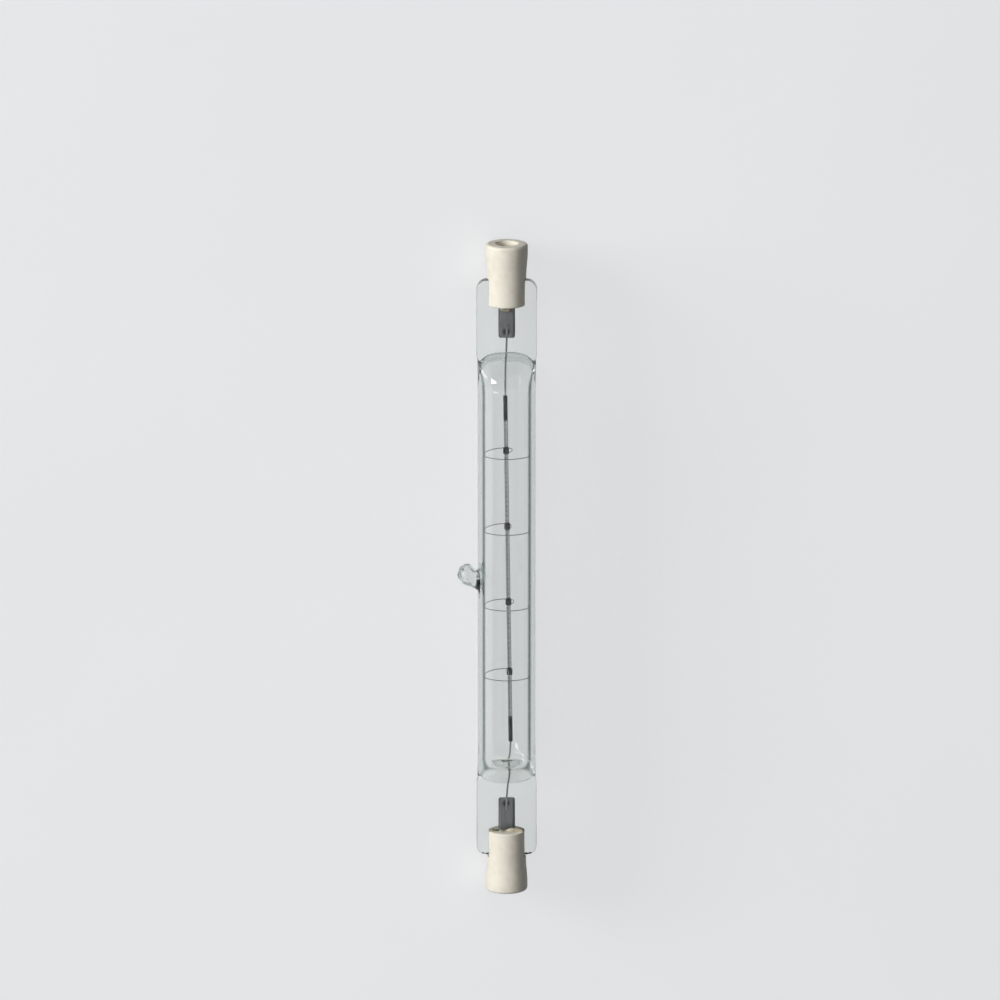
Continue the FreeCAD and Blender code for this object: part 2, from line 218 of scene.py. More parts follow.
def rounded(thing, voxel, passes):
    """Remesh a solid finely and smooth it, which rounds all its edges a little."""
    remesh = thing.modifiers.new("remesh", "REMESH")
    remesh.mode = "VOXEL"
    remesh.voxel_size = voxel
    smooth = thing.modifiers.new("smooth", "SMOOTH")
    smooth.factor = 0.5
    smooth.iterations = passes
    return baked(thing)


def pushed(thing, amount):
    """Move each point along its normal by what amount gives for its place, in mm."""
    normals = [vertex.normal.copy() for vertex in thing.data.vertices]
    for vertex, normal in zip(thing.data.vertices, normals):
        vertex.co += normal * amount(vertex.co)
    return thing


def turned(name, profile, sides):
    """A skin of revolution about X through (x, radius) pairs."""
    rings = []
    for x, r in profile:
        ring = [(x, r * cos(2 * pi * k / sides), r * sin(2 * pi * k / sides)) for k in range(sides)]
        rings.append(ring)
    return loft(name, rings)


def wire(name, path, radius, sides):
    """A round wire along a path of points. radius is a number or a function of the share of the path."""
    rings = []
    normal = None
    for i, point in enumerate(path):
        before, after = path[max(i - 1, 0)], path[min(i + 1, len(path) - 1)]
        along = (after - before).normalized()
        if normal is None:
            normal = along.orthogonal().normalized()
        normal = (normal - along * normal.dot(along)).normalized()
        side = along.cross(normal)
        r = radius(i / (len(path) - 1)) if callable(radius) else radius
        ring = []
        for k in range(sides):
            turn = 2 * pi * k / sides
            ring.append(point + normal * (r * cos(turn)) + side * (r * sin(turn)))
        rings.append(ring)
    return loft(name, rings)


def finished(thing, material, replaced, turn=RIGHT_END):
    """Place a piece in the lamp, give it its material and let it stand for its node."""
    thing.data.transform(Matrix.Scale(MM, 4) @ ROLLED @ turn)
    thing.data.shade_smooth()
    thing.data.materials.clear()
    thing.data.materials.append(material)
    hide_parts(replaced)
    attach(thing, "root")
    return thing


# Materials


def new_material(name):
    """A material with its node tree, its Principled shader and object coordinates."""
    material = bpy.data.materials.new(name)
    material.use_nodes = True
    tree = material.node_tree
    shader = tree.nodes["Principled BSDF"]
    place = tree.nodes.new("ShaderNodeTexCoord").outputs["Object"]
    return material, tree, shader, place


def stretched(tree, place, scale):
    """The coordinates, scaled by a number for each axis."""
    mapping = tree.nodes.new("ShaderNodeMapping")
    mapping.inputs["Scale"].default_value = scale
    tree.links.new(place, mapping.inputs["Vector"])
    return mapping.outputs["Vector"]


def grain(tree, place, scale, detail=4.0, distortion=0.0):
    texture = tree.nodes.new("ShaderNodeTexNoise")
    texture.inputs["Scale"].default_value = scale
    texture.inputs["Detail"].default_value = detail
    texture.inputs["Distortion"].default_value = distortion
    tree.links.new(place, texture.inputs["Vector"])
    return texture.outputs["Fac"]


def shades(tree, value, stops):
    """Colours along a value from 0 to 1: pairs of place and colour."""
    ramp = tree.nodes.new("ShaderNodeValToRGB")
    elements = ramp.color_ramp.elements
    while len(elements) < len(stops):
        elements.new(0.5)
    for element, (position, colour) in zip(elements, stops):
        element.position = position
        element.color = (*colour, 1)
    tree.links.new(value, ramp.inputs["Fac"])
    return ramp.outputs["Color"]


def ranged(tree, value, before, after):
    """A value brought from the range before to the range after, smoothly."""
    node = tree.nodes.new("ShaderNodeMapRange")
    node.interpolation_type = "SMOOTHSTEP"
    node.inputs["From Min"].default_value, node.inputs["From Max"].default_value = before
    node.inputs["To Min"].default_value, node.inputs["To Max"].default_value = after
    tree.links.new(value, node.inputs["Value"])
    return node.outputs["Result"]


def joined_values(tree, operation, first, second):
    node = tree.nodes.new("ShaderNodeMath")
    node.operation = operation
    tree.links.new(first, node.inputs[0])
    tree.links.new(second, node.inputs[1])
    return node.outputs["Value"]


def bumped(tree, shader, height, strength, distance):
    bump = tree.nodes.new("ShaderNodeBump")
    bump.inputs["Strength"].default_value = strength
    bump.inputs["Distance"].default_value = distance
    tree.links.new(height, bump.inputs["Height"])
    tree.links.new(bump.outputs["Normal"], shader.inputs["Normal"])


def from_middle(tree, place):
    """The coordinates apart, with the first as the distance from the lamp's middle."""
    parts = tree.nodes.new("ShaderNodeSeparateXYZ")
    tree.links.new(place, parts.inputs["Vector"])
    distance = tree.nodes.new("ShaderNodeMath")
    distance.operation = "ABSOLUTE"
    tree.links.new(parts.outputs["X"], distance.inputs[0])
    return distance.outputs["Value"], parts.outputs["Y"], parts.outputs["Z"]


def mixed(tree, share, first, second):
    """The first colour where share is 0 and the second where it is 1."""
    node = tree.nodes.new("ShaderNodeMix")
    node.data_type = "RGBA"
    tree.links.new(share, node.inputs["Factor"])
    tree.links.new(first, node.inputs["A"])
    tree.links.new(second, node.inputs["B"])
    return node.outputs["Result"]


def painted_edge_shade(tree, place):
    """Painted shade in the glass's colour: clear where it is seen square on, greyer at grazing angles, on
    the outside and in the bore, which draws dark lines along the tube's edges.
    """
    facing = tree.nodes.new("ShaderNodeLayerWeight").outputs["Facing"]
    clear = (0.99, 0.995, 0.992)
    # painted shade: a dark band on the outside where it is seen at a slant, for the dark lines along the
    # tube's edges
    outside = shades(
        tree,
        facing,
        (
            (0.32, clear),
            (0.4, (0.1, 0.13, 0.125)),
            (0.44, (0.12, 0.15, 0.145)),
            (0.52, (0.72, 0.77, 0.75)),
            (1.0, (0.7, 0.75, 0.73)),
        ),
    )
    # painted shade: the bore's edges darken where they are seen at a grazing angle
    painted_bore_shade = shades(
        tree, facing, ((0.56, clear), (0.72, (0.4, 0.44, 0.43)), (0.86, (0.15, 0.17, 0.165)))
    )
    untinted = tree.nodes.new("ShaderNodeRGB").outputs["Color"]
    untinted.default_value = (*clear, 1)
    straight_end, shoulder = BORE_ROUND_X * MM, (ROUND_X + 1) * MM
    along_bore = ranged(tree, from_middle(tree, place)[0], (straight_end, shoulder), (1, 0))
    inside = mixed(tree, along_bore, untinted, painted_bore_shade)
    radius = tree.nodes.new("ShaderNodeVectorMath")
    radius.operation = "LENGTH"
    tree.links.new(stretched(tree, place, (0, 1, 1)), radius.inputs[0])
    in_wall = ((BORE_R + 0.3) * MM, (TUBE_R - 0.3) * MM)
    return mixed(tree, ranged(tree, radius.outputs["Value"], in_wall, (0, 1)), inside, outside)


def quartz_material():
    """Clear fused quartz with faint draw lines along the tube, a little grey-green in its depth."""
    material, tree, shader, place = new_material("quartz")
    # the base colour carries painted shade along the tube's edges; the grey-green depth is the absorption
    # below
    tree.links.new(painted_edge_shade(tree, place), shader.inputs["Base Color"])
    shader.inputs["IOR"].default_value = 1.458
    shader.inputs["Transmission Weight"].default_value = 1.0
    lines = grain(tree, stretched(tree, place, (0.05, 1, 1)), 900, 3)
    tree.links.new(ranged(tree, lines, (0.3, 0.7), (0.0, 0.03)), shader.inputs["Roughness"])
    bumped(tree, shader, lines, 0.05, 0.00002)
    depth = tree.nodes.new("ShaderNodeVolumeAbsorption")
    depth.inputs["Color"].default_value = (0.5, 0.58, 0.545, 1)
    depth.inputs["Density"].default_value = 95
    output = tree.nodes["Material Output"]
    tree.links.new(depth.outputs["Volume"], output.inputs["Volume"])
    return material


def ceramic_material():
    """Fine unglazed steatite: warm white, faintly mottled and grainy."""
    material, tree, shader, place = new_material("ceramic")
    mottle = grain(tree, place, 700, 6, 0.2)
    colour = shades(
        tree,
        mottle,
        ((0.3, (0.78, 0.72, 0.60)), (0.5, (0.82, 0.77, 0.65)), (0.72, (0.85, 0.80, 0.69))),
    )
    tree.links.new(colour, shader.inputs["Base Color"])
    fine = grain(tree, place, 5200, 3)
    tree.links.new(ranged(tree, fine, (0.3, 0.7), (0.42, 0.62)), shader.inputs["Roughness"])
    bumped(tree, shader, fine, 0.25, 0.00002)
    return material


def cement_material():
    """Basic cement: beige to olive grey, rough and pitted."""
    material, tree, shader, place = new_material("cement")
    patches = grain(tree, place, 900, 5, 0.5)
    colour = shades(
        tree,
        patches,
        ((0.3, (0.16, 0.15, 0.10)), (0.5, (0.42, 0.38, 0.27)), (0.7, (0.66, 0.60, 0.47))),
    )
    tree.links.new(colour, shader.inputs["Base Color"])
    pits = grain(tree, place, 4200, 5)
    tree.links.new(ranged(tree, pits, (0.3, 0.7), (0.75, 0.95)), shader.inputs["Roughness"])
    bumped(tree, shader, pits, 0.7, 0.00006)
    return material


def metal_material(name, dark, light, rough, scale, stretch, metallic=1.0, weld_x=None):
    """Drawn or rolled metal: streaks along one way, with uneven shine, and dark where it is welded."""
    material, tree, shader, place = new_material(name)
    streaks = grain(tree, stretched(tree, place, stretch), scale, 4, 0.2)
    value = streaks if weld_x is None else joined_values(
        tree, "MULTIPLY", streaks, beside_weld(tree, place, weld_x)
    )
    scorched = tuple(0.3 * part for part in dark)
    colour = shades(tree, value, ((0.1, scorched), (0.3, dark), (0.7, light)))
    tree.links.new(colour, shader.inputs["Base Color"])
    shader.inputs["Metallic"].default_value = metallic
    tree.links.new(ranged(tree, streaks, (0.3, 0.7), rough), shader.inputs["Roughness"])
    bumped(tree, shader, streaks, 0.15, 0.00001)
    return material


def beside_weld(tree, place, weld_x):
    """From 0.1 on the weld in either pinch, weld_x mm from the lamp's middle, up to 1 round it."""
    either_end = tree.nodes.new("ShaderNodeCombineXYZ")
    for part, axis in zip(from_middle(tree, place), "XYZ"):
        tree.links.new(part, either_end.inputs[axis])
    distance = tree.nodes.new("ShaderNodeVectorMath")
    distance.operation = "DISTANCE"
    distance.inputs[1].default_value = (weld_x * MM, 0, FOIL_TOP * MM)
    tree.links.new(either_end.outputs["Vector"], distance.inputs[0])
    return ranged(tree, distance.outputs["Value"], (0.3 * MM, 0.9 * MM), (0.1, 1))


quartz = quartz_material()
lead_wire = metal_material(
    "lead_wire", (0.28, 0.28, 0.285), (0.44, 0.44, 0.45), (0.4, 0.6), 2600, (0.3, 1, 1),
    metallic=0.5,
)
ceramic = ceramic_material()
cement = cement_material()
nickel = metal_material(
    "nickel", (0.42, 0.39, 0.33), (0.66, 0.62, 0.54), (0.28, 0.45), 2600, (1, 1, 1)
)
molybdenum = metal_material(
    "molybdenum", (0.2, 0.2, 0.205), (0.34, 0.34, 0.345), (0.4, 0.6), 1800, (0.15, 1, 1),
    metallic=0.5, weld_x=WELD_X,
)
tungsten = metal_material(
    "tungsten", (0.04, 0.042, 0.042), (0.12, 0.125, 0.125), (0.25, 0.45), 2600, (0.3, 1, 1),
    metallic=0.8,
)


# Quartz envelope


def ellipse_radius(angle, a, b):
    """How far an ellipse of half axes a and b reaches at an angle."""
    return 1 / sqrt((cos(angle) / a) ** 2 + (sin(angle) / b) ** 2)


def bar_radius(angle, half_width, half_height, bead_height):
    """How far the pinch's section reaches at an angle: a bar with rounded edges and a bead each side."""
    squareness = 9.0
    bead_rise = 0.35
    reach = half_width
    for _ in range(3):
        share = smoothstep((abs(reach * cos(angle)) - BEAD_FOOT + 0.1) / bead_rise)
        height = half_height + (bead_height - half_height) * share
        terms = abs(cos(angle) / half_width) ** squareness + abs(sin(angle) / height) ** squareness
        reach = terms ** (-1 / squareness)
    return reach


def glass_section(x, count):
    """The outline of the envelope's outside at a place along the lamp."""
    x = abs(x)
    in_pinch = x > PINCH_IN
    press = smoothstep((x - ROUND_X) / (FLAT_X - ROUND_X))
    shoulder_inset = 0.1  # of the pressed tube in the pinch's bar
    a = TUBE_R + (PINCH_HALF_WIDTH - shoulder_inset - TUBE_R) * press
    b = TUBE_R + (WEB_HALF_HEIGHT - shoulder_inset - TUBE_R) * press ** 1.15
    entry = PINCH_ENTRY * (1 - round_off(1 - (x - PINCH_IN) / PINCH_ENTRY))
    corner = PINCH_CORNER * (1 - round_off((x - PINCH_OUT + PINCH_CORNER) / PINCH_CORNER))
    ending = PINCH_EDGE * (1 - round_off((x - PINCH_OUT + PINCH_EDGE) / PINCH_EDGE))
    thinning = entry * 0.4 + ending
    half_width = PINCH_HALF_WIDTH - entry - corner - ending * 0.3
    ring = []
    for k in range(count):
        turn = 2 * pi * k / count
        wide = max(a, half_width) if in_pinch else a
        high = max(b, BEAD_HALF_HEIGHT) if in_pinch else b
        angle = atan2(high * sin(turn), wide * cos(turn))
        reach = ellipse_radius(angle, min(a, half_width) if x > FLAT_X else a, b)
        if in_pinch:
            bar = bar_radius(
                angle, half_width, WEB_HALF_HEIGHT - thinning, BEAD_HALF_HEIGHT - thinning
            )
            reach = smooth_max(reach, bar, 0.3)
        ring.append(Vector((x, reach * cos(angle), reach * sin(angle))))
    return ring


def at_side(ring, side):
    """The ring itself for side 1, or its mirror image at the other end for side -1."""
    return [Vector((side * p.x, p.y, p.z)) for p in ring]


def both_ways(name, half, section, count):
    """A skin through sections at places from the lamp's middle to one end, and their mirror images."""
    rings = [at_side(section(x, count), -1) for x in reversed(half[1:])]
    rings += [section(x, count) for x in half]
    return loft(name, rings)


def envelope_skin():
    half = spaced(0, ROUND_X, 14)
    half += spaced(ROUND_X, PINCH_IN, 24)[1:] + spaced(PINCH_IN, PINCH_IN + PINCH_ENTRY, 24)[1:]
    half += spaced(PINCH_IN + PINCH_ENTRY, FLAT_X + 0.3, 14)[1:]
    half += spaced(FLAT_X + 0.3, PINCH_OUT - PINCH_CORNER, 16)[1:]
    half += spaced(PINCH_OUT - PINCH_CORNER, PINCH_OUT - PINCH_EDGE, 12)[1:]
    half += spaced(PINCH_OUT - PINCH_EDGE, PINCH_OUT, 7)[1:]
    return both_ways("envelope_outside", half, glass_section, 208)


def cavity_section(x, count):
    """The outline of the gas space at a place along the lamp."""
    x = abs(x)
    closing = (x - CAVITY_X + CAVITY_ARCH) / CAVITY_ARCH
    press = smoothstep((x - BORE_ROUND_X) / (CAVITY_X - BORE_ROUND_X))
    least = 0.02
    a = BORE_R + CAVITY_WIDENING * smoothstep((x - ROUND_X) / 2.5)
    a *= max(round_off(closing), least)
    b = BORE_R + (CAVITY_END_HALF_HEIGHT - BORE_R) * press
    b *= max(round_off(max(closing, 0) ** 3), least)
    ring = []
    for k in range(count):
        turn = 2 * pi * k / count
        ring.append(Vector((x, a * cos(turn), b * sin(turn))))
    return ring


def cavity_skin():
    half = spaced(0, BORE_ROUND_X, 14) + spaced(BORE_ROUND_X, CAVITY_X - CAVITY_ARCH, 28)[1:]
    half += [CAVITY_X - CAVITY_ARCH * cos(pi / 2 * i / 18) for i in range(1, 19)]
    return both_ways("envelope_inside", half, cavity_section, 144)


def tip_profile():
    """Distances from the lamp's axis and radii of the exhaust tip: foot, neck, bead and drawn-off nib."""
    foot_r, neck_r, neck_length = 2.0, 1.7, 0.55
    profile = [(TUBE_R - 0.6, foot_r + 0.1), (TUBE_R - 0.15, foot_r + 0.05)]
    for share in spaced(0, 1, 9):
        r = foot_r - (foot_r - neck_r) * sin(pi / 2 * share)
        profile.append((TUBE_R - 0.1 + neck_length * share, r))
    profile += arc(TIP_DISTANCE, 0, TIP_R, 118, 12, 26)
    end = TIP_DISTANCE + TIP_R
    profile += [(end - 0.01, 0.26), (end + 0.04, 0.16), (end + 0.06, 0.02)]
    return profile


def beside_tube(thing):
    """Turn a form made along X to stand out of the tube's side, where the exhaust tip is."""
    thing.data.transform(
        Matrix.Translation((TIP_X, 0, 0)) @ Matrix.Rotation(-pi / 2, 4, "Z")
    )
    return thing


def press_marks(p):
    """The slight unevenness of the shoulders and pinches."""
    return 0.05 * smoothstep((abs(p.x) - ROUND_X - 1) / 3) * noise.noise(p * 0.55)


def flame_marks(p):
    """The irregular bead that the flame left when it sealed the exhaust tip."""
    waves = 0.16 * noise.noise(p * 0.9) + 0.14 * noise.noise(p * 2.2)
    return smoothstep((p.x - TUBE_R - 0.4) / 1.2) * waves


def make_tip():
    tip = turned("tip", tip_profile(), 72)
    pushed(tip, flame_marks)
    for vertex in tip.data.vertices:
        vertex.co.y += TIP_LEAN * (1 - smoothstep((vertex.co.x - TUBE_R) / 2))
    return beside_tube(tip)


def make_throat():
    """The exhaust tip's bore, which narrows to a point in the neck."""
    profile = [(BORE_R - 1.2, 1.0), (BORE_R + 0.3, 0.7), (TUBE_R + 0.1, 0.35), (TUBE_R + 0.6, 0.05)]
    return beside_tube(turned("throat", profile, 48))


def make_envelope():
    outside = envelope_skin()
    pushed(outside, press_marks)
    combined(outside, make_tip(), "UNION", "FAST")
    inside = cavity_skin()
    combined(inside, make_throat(), "UNION", "FAST")
    inside.data.flip_normals()
    joiner = bmesh.new()
    joiner.from_mesh(outside.data)
    joiner.from_mesh(inside.data)
    joiner.to_mesh(outside.data)
    joiner.free()
    bpy.data.objects.remove(inside)
    outside.name = "envelope"
    return finished(outside, quartz, "quartz_envelope")


# Caps, contacts and cement

PAST_CAP = 6.0  # how far a cutting box reaches from the axis, past all of a cap


def cap_profile():
    """The cap's outline from its bore over its outside to its recess, with a band by each rounding."""
    rim, foot, lip = 0.5, 0.22, 0.15
    band = 0.1
    profile = [(CAP_IN, CAP_HOLE_R), (CAP_IN, CAP_BODY_R - foot - band)]
    profile += arc(CAP_IN + foot, CAP_BODY_R - foot, foot, 180, 90)
    profile += [(CAP_IN + foot + band, CAP_BODY_R), (CAP_TAPER_X - 0.3, CAP_BODY_R)]
    for share in spaced(0, 1, 21):
        rise = (CAP_HEAD_R - CAP_BODY_R) * smoothstep(share) ** 1.2
        profile.append((CAP_TAPER_X + (CAP_HEAD_X - CAP_TAPER_X) * share, CAP_BODY_R + rise))
    profile.append((HALF - rim - band, CAP_HEAD_R))
    profile += arc(HALF - rim, CAP_HEAD_R - rim, rim, 90, 0, 12)
    profile += [(HALF, CAP_HEAD_R - rim - band), (HALF, RECESS_R + lip + band)]
    profile += arc(HALF - lip, RECESS_R + lip, lip, 0, -90)
    profile += [(HALF - lip - band, RECESS_R), (CONTACT_X + band, RECESS_R)]
    profile += [(CONTACT_X, RECESS_R - band), (CONTACT_X, CONTACT_R)]
    profile += [(CONTACT_SEAT, CONTACT_R), (CONTACT_SEAT, CAP_HOLE_R)]
    return profile


def ring_solid(name, profile, sides):
    """A closed ring of revolution about X, through an outline that doesn't reach the axis."""
    points, faces = [], []
    for k in range(sides):
        turn = 2 * pi * k / sides
        points += [(x, r * cos(turn), r * sin(turn)) for x, r in profile]
    count = len(profile)
    for k in range(sides):
        a, b = k * count, (k + 1) % sides * count
        for i in range(count):
            after = (i + 1) % count
            faces.append((a + i, b + i, b + after, a + after))
    mesh = bpy.data.meshes.new(name)
    mesh.from_pydata(points, [], faces)
    return as_object(name, mesh)


def slab(name, end, low, high):
    """A box right across a cap, from in front of it to a place in it, between two heights."""
    ends, sides = (CAP_IN - 1, end), (-PAST_CAP, PAST_CAP)
    corners = [(x, y, z) for x in ends for y in sides for z in (low, high)]
    faces = [(0, 1, 3, 2), (4, 6, 7, 5), (0, 4, 5, 1), (2, 3, 7, 6), (0, 2, 6, 4), (1, 5, 7, 3)]
    mesh = bpy.data.meshes.new(name)
    mesh.from_pydata(corners, [], faces)
    return as_object(name, mesh)


def make_cap(side, turn):
    blank = ring_solid(f"{side}_cap", cap_profile(), 128)
    combined(blank, slab("slot", SLOT_X, -SLOT_HALF, SLOT_HALF), "DIFFERENCE")
    bevel = blank.modifiers.new("bevel", "BEVEL")
    bevel.width = 0.08
    bevel.segments = 2
    bevel.limit_method = "ANGLE"
    bevel.angle_limit = radians(50)
    baked(blank)
    finished(blank, ceramic, f"{side}_ceramic_cap", turn)
    blank.data.set_sharp_from_angle(angle=radians(35))
    return blank


def make_contact(side, turn):
    """A button with a rounded edge, a faintly dished face and a rivet's head in its middle."""
    edge = 0.15
    face = ((-0.02, 1.0), (-0.05, 0.5), (-0.08, 0.42), (0.02, 0.3), (0.05, 0.05))
    profile = [(CONTACT_SEAT, CONTACT_R)]
    profile += arc(CONTACT_X - edge, CONTACT_R - edge, edge, 90, 0, 5)
    profile += [(CONTACT_X + height, r) for height, r in face]
    button = turned(f"{side}_button", profile, 72)
    return finished(button, nickel, f"{side}_contact", turn)


# Cement squeezed out in front of each pinch: its middle, half its width and how far it stands out
SQUEEZED = {"left": (-0.1, 1.6, 1.15), "right": (1.4, 1.9, 0.65)}


def squeezed_out(side, y, z):
    """How much cement stands out of the slot's mouth at y, in front of the pinch."""
    middle, half_width, most = SQUEEZED[side]
    return most * max(0.0, 1 - ((y - middle) / half_width) ** 2) if z > 0 else 0.0


def cement_lump(side, seed, i, y, z):
    """The middle and radius of one lump along the slot's mouth, above (z 1) or below (z -1)."""
    flow = 0.5 * max(0, noise.noise(Vector((i * 0.45, seed, z * 5.1))))
    flow = max(flow, squeezed_out(side, y, z))
    radius = 0.18 + 0.3 * flow + 0.06 * noise.noise(Vector((i * 3.7, seed, z)))
    return Vector((CAP_IN + 0.1 - 0.6 * flow, y, z * (WEB_HALF_HEIGHT + 0.08))), radius


def make_cement(side, turn, seed):
    """The fill in the slot, with what was squeezed out of its mouth."""
    start, edge, inner = CAP_IN + 0.05, CAP_BODY_R - 0.02, 0.3
    outline = [(start, inner), (start, edge), (SLOT_X, edge), (SLOT_X, inner)]
    fill = ring_solid(f"{side}_cement_fill", outline, 72)
    for low, high in ((-PAST_CAP, -SLOT_HALF), (SLOT_HALF, PAST_CAP)):
        combined(fill, slab("beside_slot", SLOT_X + 1, low, high), "DIFFERENCE")
    combined(fill, slab("web", PINCH_OUT, -WEB_HALF_HEIGHT, WEB_HALF_HEIGHT), "DIFFERENCE")
    builder = bmesh.new()
    builder.from_mesh(fill.data)
    lumps, spread = 18, 5.5
    for i in range(lumps):
        y = spread * ((i + 0.5) / lumps - 0.5)
        for z in (-1, 1):
            centre, radius = cement_lump(side, seed, i, y, z)
            bmesh.ops.create_icosphere(
                builder, subdivisions=2, radius=radius, matrix=Matrix.Translation(centre)
            )
    builder.to_mesh(fill.data)
    builder.free()
    rounded(fill, 0.07, 3)
    pushed(fill, lambda p: 0.04 * noise.noise(p * 3.1 + Vector((seed, 0, 0))))
    return finished(fill, cement, f"{side}_cap_cement", turn)


# Foils and leads


def foil_section(x, half_width, seed):
    """Flat in the middle and thin at both edges, with a faint roll and small creases."""
    feather = 0.5
    uneven = 0.012
    flat = half_width - feather
    outline = [(half_width, 0.5)] + [(y, 1) for y in spaced(flat, -flat, 9)]
    outline += [(-half_width, 0.5)] + [(y, 0) for y in spaced(-flat, flat, 9)]
    ragged = 1 + uneven * noise.noise(Vector((x * 1.7, seed, 2.0)))
    ring = []
    for y, level in outline:
        crease = uneven * noise.noise(Vector((x * 0.8, y * 1.3, seed)))
        ring.append(Vector((x, y * ragged, FOIL_TOP - FOIL_THICKNESS * (1 - level) + crease)))
    return ring


def make_foil(side, turn, seed):
    """A feather-edged strip with blunt corners."""
    corner = 0.4
    places = [FOIL_IN + corner * (1 - cos(pi / 2 * i / 8)) for i in range(9)]
    places += spaced(FOIL_IN + corner, FOIL_OUT - corner, 50)[1:]
    places += [FOIL_OUT - corner * (1 - sin(pi / 2 * i / 8)) for i in range(1, 9)]
    rings = []
    for x in places:
        blunt = round_off(1 - (x - FOIL_IN) / corner) * round_off(1 - (FOIL_OUT - x) / corner)
        rings.append(foil_section(x, FOIL_HALF_WIDTH - corner * (1 - blunt), seed))
    strip = loft(f"{side}_foil_strip", rings)
    return finished(strip, molybdenum, f"{side}_foil", turn)


def make_inner_lead(side, turn):
    """From its weld on the foil to the post in the coil, with its flattened end and a cut tail."""
    path = []
    start, end = COIL_X - POST_LENGTH, FOIL_IN + LEAD_LAP
    way = -1 if side == "left" else 1
    lift_most, lift_length = 0.05, 0.6
    for x in spaced(start, end, 90):
        lift = lift_most * smoothstep((x - FOIL_IN + lift_length) / lift_length)
        hang = way * sway(way * x) * (1 - min(max((x - COIL_X) / (FOIL_IN - COIL_X), 0), 1))
        path.append(Vector((x, hang, lift)))
    post_share, step = POST_LENGTH / (end - start), 0.015

    def radius(share):
        return POST_R + (INNER_LEAD_R - POST_R) * smoothstep((share - post_share) / step)

    bar = wire(f"{side}_lead_wire", path, radius, 20)
    for vertex in bar.data.vertices:
        if vertex.co.x > FOIL_IN + 0.1:
            vertex.co.z = max(vertex.co.z * 0.75, ON_FOIL)
            vertex.co.y *= 1.25
    return finished(bar, lead_wire, f"{side}_inner_lead", turn)


def make_outer_lead(side, turn):
    path = [Vector((x, 0, 0)) for x in spaced(FOIL_OUT - LEAD_LAP, CONTACT_SEAT + 0.3, 40)]
    bar = wire(f"{side}_outer_wire", path, CAP_HOLE_R - 0.01, 20)
    for vertex in bar.data.vertices:
        if vertex.co.x < FOIL_OUT:
            vertex.co.z = max(vertex.co.z, ON_FOIL)
    return finished(bar, molybdenum, f"{side}_outer_lead", turn)


# Filament and supports


def make_filament():
    """The coil: open turns in the middle, and close turns on the posts at its ends."""
    per_turn = 12
    middle_r = COIL_R - COIL_WIRE_R
    close_pitch = 2.15 * COIL_WIRE_R
    x, angle = -COIL_X, 0.0
    path = []
    while x < COIL_X:
        path.append(Vector((x, sway(x) + middle_r * cos(angle), middle_r * sin(angle))))
        inward = COIL_X - abs(x)
        share = smoothstep((inward - POST_LENGTH + 0.2) / 0.6)
        pitch = close_pitch + (COIL_PITCH - close_pitch) * share
        x += pitch / per_turn
        angle += 2 * pi / per_turn
    coil = wire("coil", path, COIL_WIRE_R, 6)
    return finished(coil, tungsten, "filament")


def make_support(number, place):
    """Tight turns on the coil, a spiral arm and a hoop that springs against the tube's wall."""
    hub_r = COIL_R + SUPPORT_FIT + SUPPORT_WIRE_R
    hoop_r = BORE_R - SUPPORT_FIT - SUPPORT_WIRE_R
    twist = 14 * noise.noise(Vector((number * 2.3, 0.4, 0)))
    start = radians(HOOP_START + 360 * ARM_TURNS + twist)
    total = HUB_TURNS + ARM_TURNS + HOOP_TURNS
    hub_end = HUB_TURNS * SUPPORT_WIRE_R
    path = []
    for turn in spaced(0, total, 360):
        angle = start - 2 * pi * (turn - HUB_TURNS)
        out = smoothstep((turn - HUB_TURNS) / ARM_TURNS)
        radius = hub_r + (hoop_r - hub_r) * out
        if turn < HUB_TURNS:
            x = (2 * turn - HUB_TURNS) * SUPPORT_WIRE_R
        else:
            x = hub_end + (HOOP_SHIFT - hub_end) * out
        middle = sway(place) * (1 - out)
        path.append(Vector((place + x, middle + radius * cos(angle), radius * sin(angle))))
    spring = wire(f"support_wire_{number}", path, SUPPORT_WIRE_R, 12)
    return finished(spring, tungsten, f"filament_support_{number}")


make_envelope()
for side, turn, seed in (("left", LEFT_END, 1.5), ("right", RIGHT_END, 7.5)):
    make_cap(side, turn)
    make_contact(side, turn)
    make_cement(side, turn, seed)
    make_foil(side, turn, seed)
    make_inner_lead(side, turn)
    make_outer_lead(side, turn)
make_filament()
for number, place in enumerate(SUPPORT_PLACES, start=1):
    make_support(number, place)

# Floor, light and camera

UP = Vector((-1, 0, 0))
FACE = ROLLED.to_3x3() @ Vector((0, 0, 1))
LEFT = ROLLED.to_3x3() @ Vector((0, -1, 0))
TABLE_SIZE = 6.0  # m
FLOOR_GLOW = 0.62  # shown by the table besides the light it reflects


def make_floor():
    """A pale table that looks a little lighter than the lights alone make it."""
    material, tree, shader, place = new_material("floor")
    colour = shades(
        tree, grain(tree, place, 14, 5), ((0.3, (0.4, 0.405, 0.41)), (0.7, (0.44, 0.443, 0.447)))
    )
    tree.links.new(colour, shader.inputs["Base Color"])
    shader.inputs["Roughness"].default_value = 0.9
    seen = tree.nodes.new("ShaderNodeLightPath").outputs
    straight = joined_values(tree, "ADD", seen["Is Camera Ray"], seen["Is Transmission Ray"])
    all_seen = joined_values(tree, "ADD", straight, seen["Is Glossy Ray"])
    shader.inputs["Emission Color"].default_value = (0.98, 0.99, 1, 1)
    glow = ranged(tree, all_seen, (0, 1), (0, FLOOR_GLOW))
    tree.links.new(glow, shader.inputs["Emission Strength"])
    bpy.ops.mesh.primitive_plane_add(size=TABLE_SIZE, location=(0, 0, cad_low.z - 0.01 * MM))
    plane = bpy.context.object
    plane.name = "floor"
    plane.data.materials.append(material)


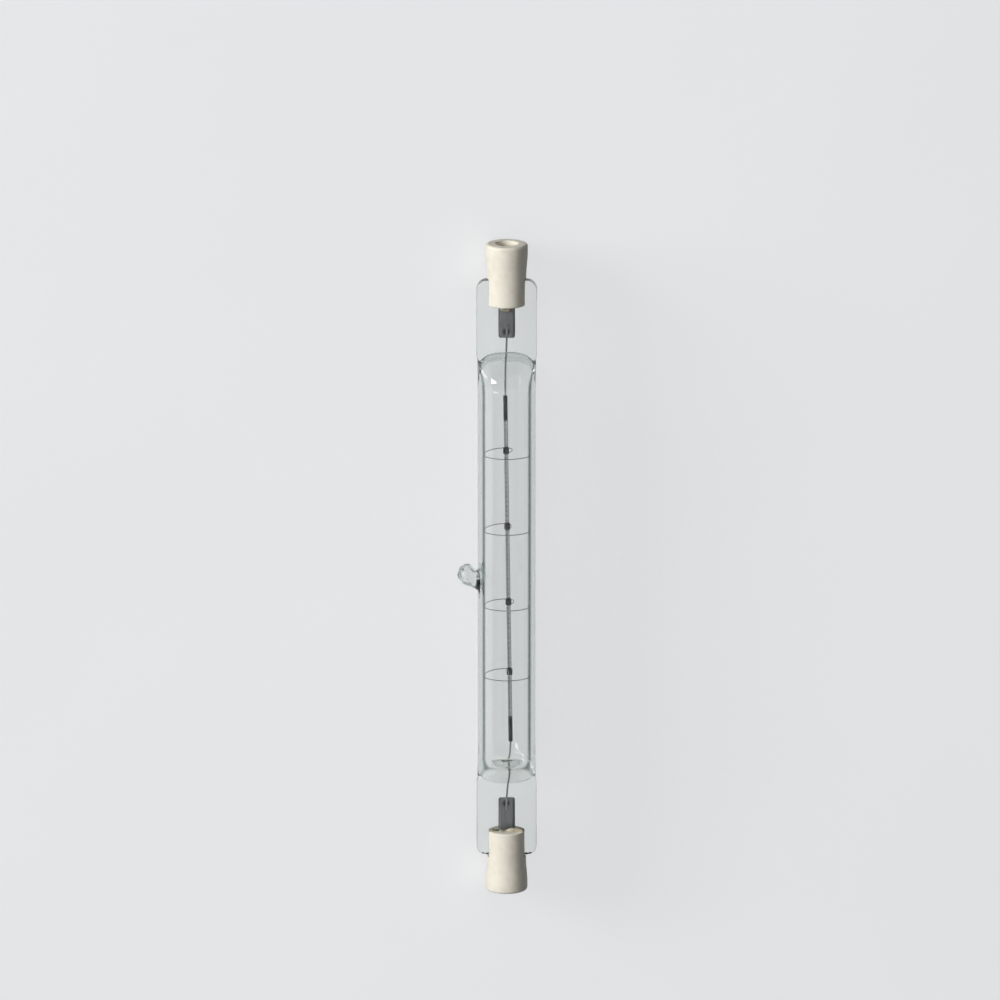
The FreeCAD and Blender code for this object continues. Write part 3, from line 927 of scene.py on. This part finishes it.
def add_light(name, direction, distance, size, power):
    """A round light that looks at the origin; distance and size in m, power in W."""
    light = bpy.data.lights.new(name, "AREA")
    light.shape = "DISK"
    light.size = size
    light.energy = power
    lamp = bpy.data.objects.new(name, light)
    lamp.location = direction.normalized() * distance
    lamp.rotation_mode = "QUATERNION"
    lamp.rotation_quaternion = (-direction).to_track_quat("-Z", "Y")
    bpy.context.scene.collection.objects.link(lamp)
    return lamp


def make_world():
    """A dim room, brighter above and on the left, dark by the horizon, lighter through the glass."""
    world = bpy.data.worlds.new("studio")
    world.use_nodes = True
    tree = world.node_tree
    way = tree.nodes.new("ShaderNodeTexCoord").outputs["Generated"]
    parts = tree.nodes.new("ShaderNodeSeparateXYZ")
    tree.links.new(way, parts.inputs["Vector"])
    on_left, on_right, at_horizon, through_glass = 0.4, 0.06, 0.15, 0.3
    side = ranged(tree, parts.outputs["Y"], (-1, 1), (on_left, on_right))
    height = ranged(tree, parts.outputs["Z"], (0.05, 0.6), (at_horizon, 1))
    strength = joined_values(tree, "MULTIPLY", side, height)
    seen = tree.nodes.new("ShaderNodeLightPath").outputs["Is Transmission Ray"]
    added = ranged(tree, seen, (0, 1), (0, through_glass))
    strength = joined_values(tree, "ADD", strength, added)
    background = tree.nodes["Background"]
    background.inputs["Color"].default_value = (0.93, 0.96, 1, 1)
    tree.links.new(strength, background.inputs["Strength"])
    bpy.context.scene.world = world


def make_camera():
    """Look square at the pinches, from a little towards the left end, which is at the top."""
    tilt = radians(15.0)
    distance = 2.0
    half_picture = 500  # pixels
    across = 5.68  # pixels to the mm at the lamp
    below, aside = 68.5, 6.7  # pixels by which the lamp's middle is below and right of the picture's
    aim = UP * (below / across / cos(tilt) * MM) + LEFT * (aside / across * MM)
    back = FACE * cos(tilt) + UP * sin(tilt)
    camera = bpy.data.cameras.new("camera")
    camera.sensor_width = 36.0
    camera.lens = camera.sensor_width / 2 / (half_picture / across * MM / distance)
    camera.clip_start = 0.05
    camera.clip_end = 20
    holder = bpy.data.objects.new("camera", camera)
    bpy.context.scene.collection.objects.link(holder)
    right = UP.cross(back).normalized()
    upward = back.cross(right)
    turn = Matrix((right, upward, back)).transposed()
    holder.matrix_world = Matrix.Translation(aim + back * distance) @ turn.to_4x4()
    bpy.context.scene.camera = holder


make_floor()
make_world()
add_light("key", LEFT * 0.8 + FACE * 0.56 + UP * 0.36, distance=1.3, size=0.6, power=20.0)
front = add_light(
    "front", FACE * 0.85 + UP * 0.5 + LEFT * 0.1, distance=1.2, size=0.7, power=0.8
)
front.visible_glossy = False  # it lights the table through the glass, and leaves no glare on it
make_camera()
bpy.context.scene.view_settings.view_transform = "Standard"
